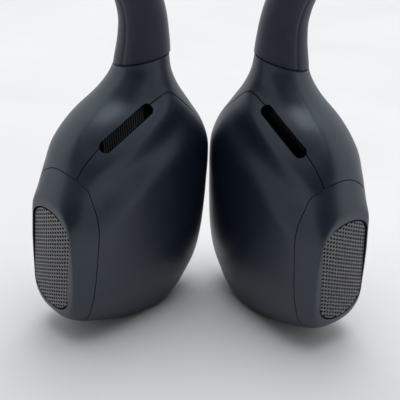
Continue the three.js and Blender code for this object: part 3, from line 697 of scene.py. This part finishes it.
def pod_rings(heights, inset, sides, detail=True):
    """Level rings of the pod, set in by inset. detail adds a crisper facet and the cheek side's relief."""
    rear, front, inner, outer = (smooth(POD_SECTIONS[:, 0], POD_SECTIONS[:, k], heights)[:, None]
                                 for k in (1, 2, 3, 4))
    z = np.repeat(heights[:, None], sides, 1)
    angles = np.linspace(0, 2 * math.pi, sides, endpoint=False)[None, :]
    c, s = np.cos(angles), np.sin(angles)
    low, neck = SQUARENESS["low"], SQUARENESS["neck"]
    squareness = low + (neck - low) * smoothstep(z, *SQUARENESS["between"])
    power = 2 / np.where(c < 0, squareness, SQUARENESS["front"])
    along = (rear + front) / 2 + ((front - rear) / 2 - inset) * signed_power(c, power) - inset
    edge = FACET["edge"] if detail else FACET["hollow_edge"]
    softness = (edge + FACET["low"] * np.clip((FACET["low_from"] - z) / FACET["low_over"], 0, 1)
                + FACET["outer"] * smoothstep(s, FACET["outer_from"], FACET["outer_to"]))
    flat = inset + 0.5 * (along + np.sqrt(along ** 2 + softness ** 2))
    thickness = np.where(s < 0, inner, outer) - inset
    across = thickness * signed_power(s, power)
    if detail:
        across = across + smoothstep(-s, *CHEEK_SIDE) * relief_depth(flat, z)
    return np.stack([across, flat, z], -1)


def eased(low, high, count):
    """Steps from low to high that are closer together near both ends."""
    share = np.linspace(0, 1, count)
    return low + (high - low) * (0.45 * share + 0.55 * (1 - np.cos(np.pi * share)) / 2)


def pod_skin(low, high, inset, count, sides, detail=True):
    return loft(pod_rings(eased(low, high, count), inset, sides, detail))


def seam_at(z, clearance):
    return SPLIT["t"] + SPLIT["slope"] * z + clearance


def outer_half(clearance):
    """Everything on the outer side of the seam between the pod's two shells."""
    outline = [(seam_at(BLOCK_LOW, clearance), BLOCK_LOW), (BLOCK_SIDE, BLOCK_LOW), (BLOCK_SIDE, BLOCK_HIGH),
               (seam_at(BLOCK_HIGH, clearance), BLOCK_HIGH)]
    return prism(outline, BLOCK_FRONT + BLOCK_SIDE, T, UP, (0, BLOCK_FRONT, 0))


def cap_block(grow):
    """The end cap's space: its outline from the side, cut to the arch of its top seen from the rear."""
    reach, drop = CAP["reach"], CAP["drop"]
    side = [(-CAP_SIDE, BLOCK_LOW), (CAP["foot"] + grow, BLOCK_LOW), (CAP["foot"] + grow, CAP["foot_top"])]
    for angle in np.linspace(0, math.pi / 2, 40):
        side.append((CAP["shoulder"] - reach + (reach + grow) * math.cos(angle),
                     CAP["top"] - drop + (drop + grow) * math.sin(angle)))
    side.append((-CAP_SIDE, CAP["top"] + grow))
    spring = CAP_ARCH["top"] - CAP_ARCH["height"]
    rear = [(-CAP_SIDE, BLOCK_LOW), (CAP_SIDE, BLOCK_LOW), (CAP_SIDE, spring)]
    for angle in np.linspace(0, math.pi, 90):
        rear.append((CAP_ARCH["t"] + (CAP_ARCH["half"] + grow) * math.cos(angle),
                     spring + (CAP_ARCH["height"] + grow) * math.sin(angle)))
    rear.append((-CAP_SIDE, spring))
    from_side = prism(side, 2 * BLOCK_SIDE, A, UP, (-BLOCK_SIDE, 0, 0))
    from_rear = prism(rear, 2 * BLOCK_SIDE, T, UP, (0, BLOCK_SIDE, 0))
    return keep(from_side, from_rear)


def grille_block(grow, low, high):
    """The grille's outline, grown, between two places along the pod."""
    corner = (GRILLE_PLACE[0], high, GRILLE_PLACE[2])
    return prism(grille_outline(grow), high - low, GRILLE_ACROSS, GRILLE_UP, corner)


SLOT_ALONG = np.array(Vector((-0.054, 0.871, 0.489)).normalized())
SLOT_NORMAL = np.array(Vector((-0.799, -0.331, 0.502)).normalized())
SLOT_ACROSS = np.cross(SLOT_NORMAL, SLOT_ALONG)
SLOT_MIDDLE = (np.array((SLOT["t"], SLOT["a"], SLOT["z"])) + SLOT_ACROSS * SLOT["offset"]
               - SLOT_NORMAL * SLOT["sunk"])


def slot_block(grow, outward, inward):
    """The slot's outline, grown, reaching outward and inward from its middle."""
    outline = stadium(SLOT["length"] + 2 * grow, SLOT["width"] + 2 * grow)
    return prism(outline, outward + inward, SLOT_ALONG, SLOT_ACROSS, SLOT_MIDDLE - SLOT_NORMAL * inward)


def below_neck(offset):
    """Everything below the neck's tilted top."""
    normal = Vector((*(NECK["tilt"] * share for share in NECK["toward"]), 1)).normalized()
    block = square_block((-30, -30, -60), (30, 30, 0))
    turn = Vector(UP).rotation_difference(normal).to_matrix().to_4x4()
    block.transform(Matrix.Translation((NECK["t"], NECK["a"], NECK["z"] + offset)) @ turn)
    return block


def neck_bore():
    start = (NECK["t"], NECK["a"], NECK["bore_from"])
    return prism(circle(BORE, BORE_SIDES), NECK["bore_length"], T, A, start)


def pod_shells():
    skin = pod_skin(0, POD_TOP, 0, POD_RINGS, POD_SIDES)
    inside = pod_skin(WALL, HOLLOW_TOP, WALL, HOLLOW_RINGS, HOLLOW_SIDES, detail=False)
    hollow = keep(cut(skin, inside, neck_bore()), below_neck(0))
    body = cut(hollow, cap_block(SEAM), slot_block(0, SLOT["cut_out"], SLOT["cut_in"]))
    seat = grille_block(GRILLE_SEAT["gap"], GRILLE_SEAT["front"], GRILLE_SEAT["ledge"])
    opening = grille_block(-GRILLE_SEAT["lip"], GRILLE_SEAT["front"], GRILLE_SEAT["back"])
    return {
        "outer": keep(body, outer_half(SEAM / 2)),
        "inner": cut(body, outer_half(-SEAM / 2)),
        "cap": cut(keep(hollow, cap_block(0)), seat, opening),
    }


def grille_holes():
    """Round holes on a triangular lattice, one of its lines upright."""
    pitch, ring = GRILLE_HOLE["pitch"], circle(GRILLE_HOLE["radius"], GRILLE_HOLE["sides"])
    n = len(ring)
    points, faces = [], []
    column = pitch * math.sqrt(3) / 2
    columns = int(GRILLE["half"] / column) + 2
    rows = int((GRILLE["top"] + GRILLE["crown"]) / pitch) + 2
    for i in range(-columns, columns + 1):
        for j in range(-rows, rows + 1):
            u, v = i * column, (j + (i % 2) / 2) * pitch
            beyond = (max(v - GRILLE["top"], 0) / GRILLE["crown"]
                      + max(GRILLE["bottom"] - v, 0) / GRILLE["keel"])
            if math.hypot(u / GRILLE["half"], beyond) > GRILLE_HOLE["beyond"]:
                continue
            start = len(points)
            for depth in GRILLE_HOLE["ends"]:
                base = GRILLE_PLACE + np.array((0, depth, 0))
                points += [base + (u + x) * GRILLE_ACROSS + (v + w) * GRILLE_UP for x, w in ring]
            faces.append(tuple(start + k for k in reversed(range(n))))
            faces.append(tuple(start + n + k for k in range(n)))
            for k in range(n):
                m = (k + 1) % n
                faces.append((start + k, start + m, start + n + m, start + n + k))
    return mesh_of(points, faces)


def grille_mesh():
    """The perforated plate, crowned a little about its upright middle line."""
    half, middle = GRILLE_THICKNESS / 2, GRILLE_PLACE[1]
    plate = cut(grille_block(0, middle - half, middle + half), grille_holes())
    points = np.empty(len(plate.vertices) * 3)
    plate.vertices.foreach_get("co", points)
    points = points.reshape(-1, 3)
    off_middle = (points - GRILLE_PLACE) @ GRILLE_ACROSS
    points[:, 1] -= GRILLE["bulge"] * (1 - (off_middle / GRILLE["half"]) ** 2)
    plate.vertices.foreach_set("co", points.ravel())
    plate.update()
    return plate


def grille_cloth():
    """The dark cloth just behind the grille plate."""
    middle = GRILLE_PLACE[1]
    return grille_block(-GRILLE_CLOTH["inset"], middle + GRILLE_CLOTH["front"], middle + GRILLE_CLOTH["back"])


def slot_ribs():
    """A fine screen of leaning ribs down in the slot."""
    points, faces = [], []
    middle = SLOT_MIDDLE - SLOT_NORMAL * SLOT_RIB["depth"]
    half_rib = SLOT_RIB["width"] / 2
    half_length, half_width = SLOT["length"] / 2 - SLOT_RIB["end"], SLOT["width"] / 2 - SLOT_RIB["side"]
    count = int(half_length / SLOT_RIB["pitch"])
    for k in range(-count, count + 1):
        centre = middle + SLOT_ALONG * k * SLOT_RIB["pitch"]
        start = len(points)
        for height in (SLOT_RIB["low"], SLOT_RIB["high"]):
            for u, v in ((-half_rib, -half_width), (half_rib, -half_width),
                         (half_rib, half_width), (-half_rib, half_width)):
                points.append(centre + SLOT_ALONG * (u + SLOT_RIB["lean"] * v) + SLOT_ACROSS * v
                              + SLOT_NORMAL * height)
        faces += [tuple(start + q for q in f) for f in
                  ((3, 2, 1, 0), (4, 5, 6, 7), (0, 1, 5, 4), (1, 2, 6, 5), (2, 3, 7, 6), (3, 0, 4, 7))]
    return mesh_of(points, faces)


def slot_painted_shade():
    """A near-black sheet under the ribs: painted shade for the dark hollow behind the vent."""
    return slot_block(-SLOT_PAINTED_SHADE["inset"], SLOT_PAINTED_SHADE["top"], SLOT_PAINTED_SHADE["bottom"])


def button_outline(grow):
    return stadium(BUTTON["length"] + 2 * grow, BUTTON["width"] + 2 * grow)


def button_hole():
    corner = (BUTTON["face"] - BUTTON["hole_depth"], BUTTON["a"], BUTTON["z"])
    return prism(button_outline(BUTTON["gap"]), BUTTON["hole_length"], A, UP, corner)


def domed_button(outline, thickness, crown, edge):
    """A button in its own frame: outline in x and y, outer face up, rounded rim and a slight crown."""
    span_x, span_y = abs(outline).max(0)
    sides = [(0, -thickness + share * (thickness - edge)) for share in np.linspace(0, 1, 4)]
    rim = [(edge * (math.cos(angle) - 1), edge * (math.sin(angle) - 1))
           for angle in np.linspace(0, math.pi / 2, 8)[1:]]
    stack = [[(x * (1 + grow / span_x), y * (1 + grow / span_y), height) for x, y in outline]
             for grow, height in sides + rim]
    face = stack[-1]
    for share in (0.8, 0.55, 0.3, 0.1):
        stack.append([(x * share, y * share, crown * (1 - share ** 2)) for x, y, _ in face])
    return loft(np.array(stack))


# ---------- hook, module and band ----------

def hook_centres(count):
    """The hook's centreline in the pod's t, a and z, from the neck to the module."""
    pod = np.stack([np.full(len(HOOK_PATH), NECK["t"]), NECK["a"] - HOOK_PATH[:, 0], HOOK_PATH[:, 1]], -1)
    return even(catmull(pod), count)


def hook_groove(angles):
    """The share of the radius that is left at each angle."""
    line = np.exp(-((angles - HOOK_GROOVE["angle"]) / HOOK_GROOVE["width"]) ** 2)
    return 1 - HOOK_GROOVE["depth"] * line


def hook_sleeve():
    """The silicone sleeve, cut off at the neck's joint, with a moulding groove along it."""
    radii = smooth(np.linspace(0, 1, len(HOOK_PATH)), HOOK_PATH[:, 2], np.linspace(0, 1, HOOK_RINGS))
    rings = tube_rings(hook_centres(HOOK_RINGS), radii, T, HOOK_SIDES, hook_groove)
    return cut(loft(rings), below_neck(SEAM))


def module_matrix(name):
    """From a module's own axes in mm, with z along it and y up, to the frame. It carries on from the hook."""
    centres = hook_centres(400)
    axis = Vector(centres[-1] - centres[-2]).normalized()
    across = Vector(T)
    up = axis.cross(across)
    turn = Matrix((across, up, axis)).transposed().to_4x4()
    return PLACES[name] @ Matrix.Translation(Vector(centres[-1]) + axis * MODULE["gap"]) @ turn


def module_rings(shares, inset, sides):
    swell = (np.sin(np.pi * np.clip(shares, 0, 1)) ** MODULE["taper"])[:, None]
    half_thick = MODULE["end"] + (MODULE["half_thick"] - MODULE["end"]) * swell - inset
    half_high = MODULE["end"] + (MODULE["half_high"] - MODULE["end"]) * swell - inset
    power = 2 / (2 + MODULE["squareness"] * swell)
    angles = np.linspace(0, 2 * math.pi, sides, endpoint=False)[None, :]
    x = half_thick * signed_power(np.cos(angles), power)
    y = half_high * signed_power(np.sin(angles), power)
    z = np.repeat(shares[:, None] * MODULE["length"], sides, 1)
    return np.stack([x, y, z], -1)


def module_skin(start, end, inset, count, sides):
    shares = start + (end - start) * (1 - np.cos(np.linspace(0, np.pi, count))) / 2
    return loft(module_rings(shares, inset, sides))


def volume_block(k, grow, low, high):
    outline = stadium(VOLUME["length"] + 2 * grow, VOLUME["width"] + 2 * grow)
    return prism(outline, high - low, UP, T, (0, low, VOLUME["first"] + k * VOLUME["pitch"]))


def usb_block(grow, low, high):
    outline = stadium(USB["width"] + 2 * grow, USB["height"] + 2 * grow)
    return prism(outline, high - low, UP, T, (0, low, USB["along"]))


def square_block(low, high):
    outline = [(low[0], low[1]), (high[0], low[1]), (high[0], high[1]), (low[0], high[1])]
    return prism(outline, high[2] - low[2], T, A, (0, 0, low[2]))


def module_shells(controls):
    """The module's two halves; controls adds the holes for the buttons, the receptacle and the light pipe."""
    shell = cut(module_skin(0, 1, 0, 120, 128), module_skin(*MODULE["hollow"], WALL, 30, 48))
    bore = prism(circle(BORE, BORE_SIDES), MODULE["length"] + 6, T, A, (0, 0, -3))
    shell = cut(shell, bore)
    if controls:
        buttons = [volume_block(k, VOLUME["gap"], *VOLUME["hole"]) for k in (0, 1)]
        shell = cut(shell, *buttons, usb_block(USB["gap"], *USB["hole"]), square_block(*LIGHT_HOLE))
    far = MODULE["length"] + 5
    return {"outer": keep(shell, square_block((SEAM / 2, -20, -5), (20, 20, far))),
            "inner": keep(shell, square_block((-20, -20, -5), (-SEAM / 2, 20, far)))}


def usb_receptacle():
    body = usb_block(0, USB["recess"] - MODULE["half_high"], USB["back"])
    return cut(body, usb_block(-USB["wall"], *USB["well"]))


def usb_tongue():
    outline = stadium(USB_TONGUE["width"], USB_TONGUE["height"])
    corner = (0, USB_TONGUE["recess"] - MODULE["half_high"], USB["along"])
    return prism(outline, USB_TONGUE["length"], UP, T, corner)


def side_points(name):
    """Points of one side's centreline from its module to the back corner, set down as on the right."""
    side, module = PODS[name][0], module_matrix(name)
    ends = [module @ Vector((0, 0, MODULE["length"] + past)) / MM for past in BAND_LEAD]
    hinge = hinge_place(name) / MM
    forward = hinge.y - BAND_PATH[HINGE_AT][1]
    free = BAND_PATH + np.array((0, forward, 0))
    return np.array([(side * x, y, z) for x, y, z in ends] + list(map(tuple, free)))


def band_line(name, other):
    """The whole neckband's centreline from one side's module round to the other's, in mm."""
    across = side_points(other)[:-1][::-1] * np.array((-1, 1, 1))
    return catmull(np.vstack([side_points(name), across]))


def open_tube(rings_out, rings_in):
    """A tube with a wall, from its outer and inner rings."""
    count, sides = rings_out.shape[:2]
    points = np.vstack([rings_out.reshape(-1, 3), rings_in.reshape(-1, 3)])
    start = count * sides
    faces = []
    last = (count - 1) * sides
    for i in range(sides):
        j = (i + 1) % sides
        for low in range(0, last, sides):
            faces.append((low + i, low + j, low + sides + j, low + sides + i))
            faces.append((start + low + j, start + low + i, start + low + sides + i, start + low + sides + j))
        faces.append((j, i, start + i, start + j))
        faces.append((last + i, last + j, start + last + j, start + last + i))
    return mesh_of(points, faces)


def band_piece(line, start, end, count, tapered):
    """A length of the band's sleeve; tapered starts it as wide as the module's end."""
    centres = even(line, count, start, end)
    radii = np.full(count, BAND_RADIUS)
    if tapered:
        wide = MODULE["end"] - BAND_TAPER["under_module"]
        radii = wide + (BAND_RADIUS - wide) * smoothstep(np.linspace(0, 1, count), 0, BAND_TAPER["share"])
    outer = tube_rings(centres, radii, UP, BAND_SIDES)
    inner = tube_rings(centres, np.full(count, BORE), UP, BAND_SIDES)
    return open_tube(outer, inner)


def core_piece(line, start, end, count):
    """A length of the band's wire."""
    radii = np.full(count, BAND_CORE_RADIUS)
    return loft(tube_rings(even(line, count, start, end), radii, UP, BAND_CORE_SIDES))


# ---------- build ----------

soft_touch = soft_touch_material()
silicone = silicone_material()
grille_metal = metal_material("grille_metal", (0.12, 0.12, 0.124), (0.17, 0.17, 0.175), 0.36, 2500)
# Near-black: real cloth behind the grille, and painted shade as the sheet under the slot's ribs.
dark_cloth_and_painted_shade = plastic_material("dark_cloth_and_painted_shade", (0.002, 0.002, 0.0025), (0.006, 0.006, 0.007), 0.8)
rib_plastic = plastic_material("rib_plastic", (0.013, 0.013, 0.016), (0.024, 0.024, 0.028), 0.45)
titanium = metal_material("titanium", (0.42, 0.40, 0.37), (0.56, 0.54, 0.50), 0.32, 4000)
nickel = metal_material("nickel", (0.58, 0.58, 0.59), (0.70, 0.70, 0.71), 0.25, 2500)
copper = metal_material("copper", (0.55, 0.24, 0.09), (0.72, 0.36, 0.16), 0.3, 5000, (1, 1, 6))
foil = metal_material("foil", (0.62, 0.63, 0.65), (0.75, 0.76, 0.78), 0.35, 900)
board_green = plastic_material("circuit_board", (0.006, 0.06, 0.03), (0.012, 0.1, 0.05), 0.35, 2500)
black_plastic = plastic_material("black_plastic", (0.010, 0.010, 0.011), (0.018, 0.018, 0.02), 0.45)
film = plastic_material("diaphragm_film", (0.45, 0.43, 0.36), (0.62, 0.60, 0.52), 0.4, 1500)
clear = clear_material()

CAD_FINISH = {
    "air_driver_frame": black_plastic, "air_driver_diaphragm": film,
    "transducer_yoke": titanium, "transducer_magnet": nickel, "transducer_coil": copper,
    "vibration_plate": nickel, "pod_board": board_green, "hook_core": titanium,
    "multifunction_switch": black_plastic, "battery_cell": foil, "battery_board": board_green,
    "main_board": board_green, "charge_light_pipe": clear,
    "volume_up_switch": black_plastic, "volume_down_switch": black_plastic,
}


def finish_cad_nodes():
    """The finishes of the CAD nodes that the visual keeps."""
    for name, node in frame["nodes"].items():
        material = CAD_FINISH.get(name.split("_", 1)[1])
        if material:
            node.data.materials.clear()
            node.data.materials.append(material)


def build_pods():
    shells = pod_shells()
    with_button = cut(shells["outer"], button_hole())
    grille, cloth = grille_mesh(), grille_cloth()
    ribs, floor = slot_ribs(), slot_painted_shade()
    hook = hook_sleeve()
    for name, place in PLACES.items():
        arm = f"{name}_arm"
        outer = with_button if name == "left" else shells["outer"]
        piece(f"{name}_outer_shell", outer, soft_touch, arm, [f"{name}_pod_outer_shell"], place)
        piece(f"{name}_inner_shell", shells["inner"], soft_touch, arm, [f"{name}_pod_inner_shell"], place)
        piece(f"{name}_end_cap", shells["cap"], soft_touch, arm, [f"{name}_pod_end_cap"], place)
        piece(f"{name}_grille", grille, grille_metal, arm, [f"{name}_speaker_grille"], place)
        piece(f"{name}_grille_cloth", cloth, dark_cloth_and_painted_shade, arm, [], place)
        piece(f"{name}_slot_ribs", ribs, rib_plastic, arm, [f"{name}_slot_vent_mesh"], place)
        # Painted shade: a near-black sheet under the ribs, where the hollow behind the vent is dark.
        piece(f"{name}_slot_painted_shade", floor, dark_cloth_and_painted_shade, arm, [], place)
        piece(f"{name}_hook", hook, silicone, arm, [f"{name}_hook_sleeve"], place)
    button = domed_button(button_outline(0), BUTTON["thickness"], BUTTON["crown"], BUTTON["edge"])
    turn = Matrix((UP, T, A)).to_4x4()
    rim = (BUTTON["face"] - BUTTON["crown"], BUTTON["a"], BUTTON["z"])
    place = PLACES["left"] @ Matrix.Translation(rim) @ turn
    piece("multifunction_cap", button, soft_touch, "multifunction_button", ["left_multifunction_button"],
          place)


def build_modules():
    for name in PODS:
        place = module_matrix(name)
        for half, mesh in module_shells(name == "right").items():
            piece(f"{name}_module_{half}", mesh, soft_touch, f"{name}_arm", [f"{name}_module_{half}_shell"],
                  place)
    place = module_matrix("right")
    turn = Matrix((A, UP, T)).to_4x4()
    outline = stadium(VOLUME["length"], VOLUME["width"])
    top = MODULE["half_high"] + VOLUME["rise"] - VOLUME["crown"]
    for k, name in enumerate(("volume_up", "volume_down")):
        cap = domed_button(outline, VOLUME["thickness"], VOLUME["crown"], VOLUME["edge"])
        spot = place @ Matrix.Translation((0, top, VOLUME["first"] + k * VOLUME["pitch"])) @ turn
        piece(f"{name}_cap", cap, soft_touch, f"{name}_button", [f"right_{name}_button"], spot)
    piece("usb_shell", usb_receptacle(), nickel, "right_arm", ["right_usb_c_receptacle"], place)
    piece("usb_tongue", usb_tongue(), black_plastic, "right_arm", [], place)


def build_band():
    for name, other in (("right", "left"), ("left", "right")):
        side = PODS[name][0]
        line = band_line(name, other)
        place = Matrix.Scale(MM, 4) @ Matrix.Scale(side, 4, (1, 0, 0))
        sleeve = piece(f"{name}_band_sleeve", band_piece(line, 0, REAR_END, 150, True), silicone, None,
                       [f"{name}_band_side_sleeve", f"{name}_band_flex_sleeve"], place)
        core = piece(f"{name}_band_core", core_piece(line, CORE_START, REAR_END, 110), titanium, None,
                     [f"{name}_band_side_core"], place)
        for bent in (sleeve, core):
            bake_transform(bent)
        if name == "right":
            cover = band_piece(line, REAR_END, 1 - REAR_END, 110, False)
            wire = core_piece(line, REAR_END, 1 - REAR_END, 90)
            piece("band_rear_cover", cover, silicone, "neckband", ["band_rear_sleeve"], place)
            piece("band_rear_wire", wire, titanium, "neckband", ["band_rear_core"], place)


make_camera()
make_studio()
build_pods()
build_modules()
build_band()
finish_cad_nodes()
